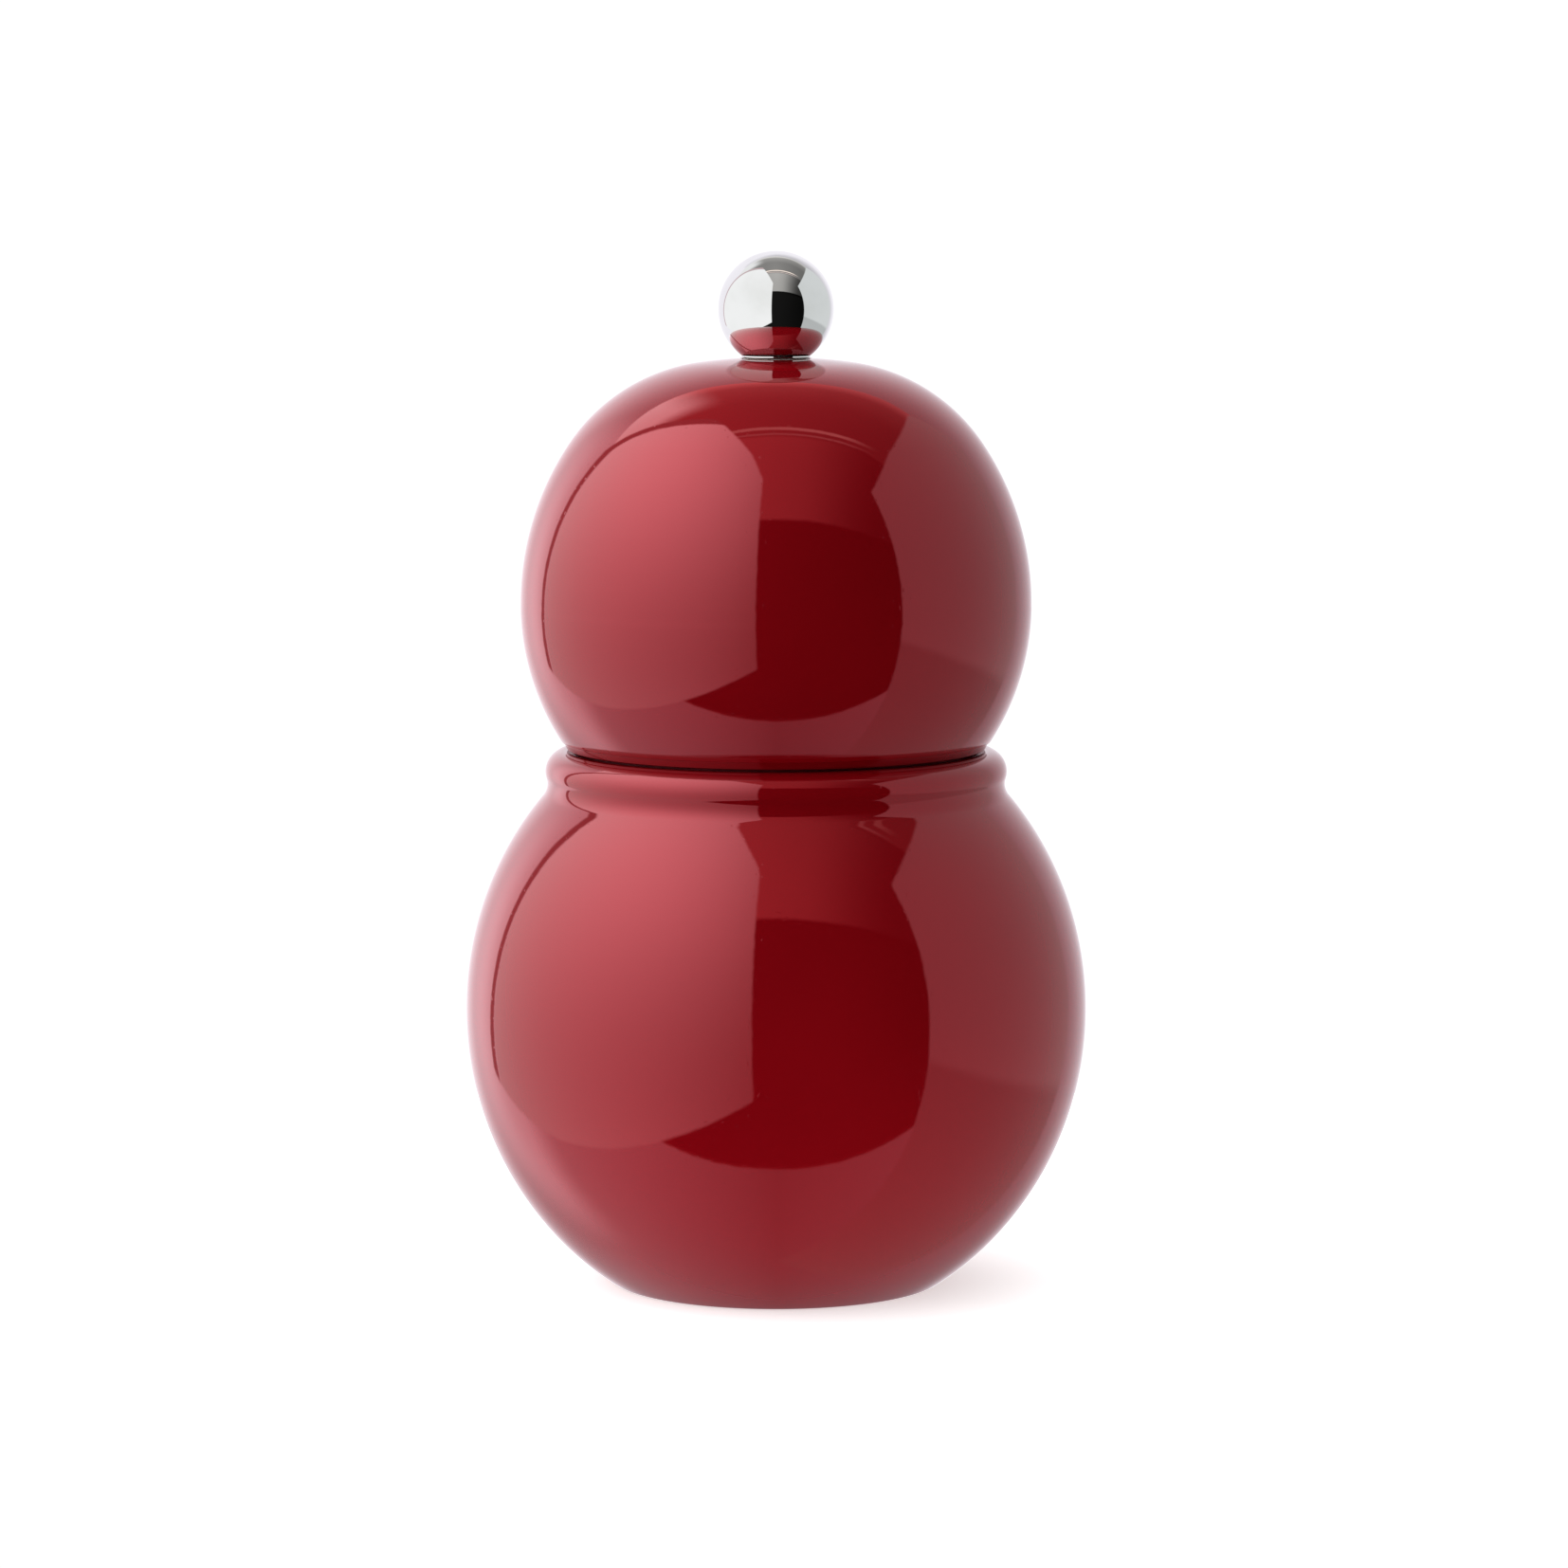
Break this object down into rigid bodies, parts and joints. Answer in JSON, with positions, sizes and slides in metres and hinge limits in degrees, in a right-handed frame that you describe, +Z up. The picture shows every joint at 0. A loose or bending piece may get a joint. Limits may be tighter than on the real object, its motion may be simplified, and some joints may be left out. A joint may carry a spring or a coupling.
{
  "type": "pepper mill",
  "caption": "Turned wooden mill of stacked balls in gloss red lacquer: the head turns the grinder in the body, and a chrome ball nut on top sets the grind.",
  "frame": {"origin": "centre of the base, on the surface the mill stands on", "axes": "+Z up the turning axis, from the base to the ball nut; -Y faces the viewer; X and Y are free, as the mill is round"},
  "size_m": [0.071, 0.071, 0.118],
  "materials": {
    "lacquer": "high-gloss red lacquer over turned beech",
    "chrome": "polished chrome plating",
    "brass": "machined brass",
    "steel": "plain zinc-plated steel",
    "grinder_steel": "dark hardened grinder steel",
    "nylon": "off-white moulded nylon"
  },
  "bodies": {
    "body": {"body_shell": "lacquer", "grinder_housing": "nylon", "bridge": "steel", "stator": "grinder_steel", "retaining_plate": "steel", "retaining_screw_1": "steel", "retaining_screw_2": "steel", "retaining_screw_3": "steel"},
    "carrier": {"shaft_bush": "nylon", "spring_washer": "steel", "spring": "steel"},
    "shaft": {"shaft": "steel", "rotor": "grinder_steel", "rotor_core": "nylon", "rotor_washer": "steel", "rotor_nut": "steel"},
    "head": {"head_shell": "lacquer", "drive_plate": "steel", "drive_screw_1": "steel", "drive_screw_2": "steel", "drive_screw_3": "steel", "head_bush": "nylon"},
    "knob_washer": {"knob_washer": "nylon"},
    "knob": {"knob_ball": "chrome", "knob_insert": "brass"}
  },
  "joints": [
    {"name": "head_turn", "type": "hinge", "parent": "body", "child": "carrier", "pos_m": [0, 0, 0.0624], "axis": [0, 0, 1], "continuous": true},
    {"name": "rotor_drop", "type": "slide", "parent": "carrier", "child": "shaft", "axis": [0, 0, -1], "range_m": [0, 0.0014], "deforming": ["spring"]},
    {"name": "head_lift", "type": "slide", "parent": "carrier", "child": "head", "axis": [0, 0, 1], "range_m": [0, 0.062]},
    {"name": "knob_lift", "type": "slide", "parent": "head", "child": "knob_washer", "axis": [0, 0, 1], "range_m": [0, 0.015]},
    {"name": "knob_turn", "type": "hinge", "parent": "knob_washer", "child": "knob", "pos_m": [0, 0, 0.11145], "axis": [0, 0, 1], "range_deg": [0, 720]}
  ],
  "couplings": [
    {"joint": "knob_turn", "follows": "rotor_drop", "rad_per_m": 8975.9}
  ]
}
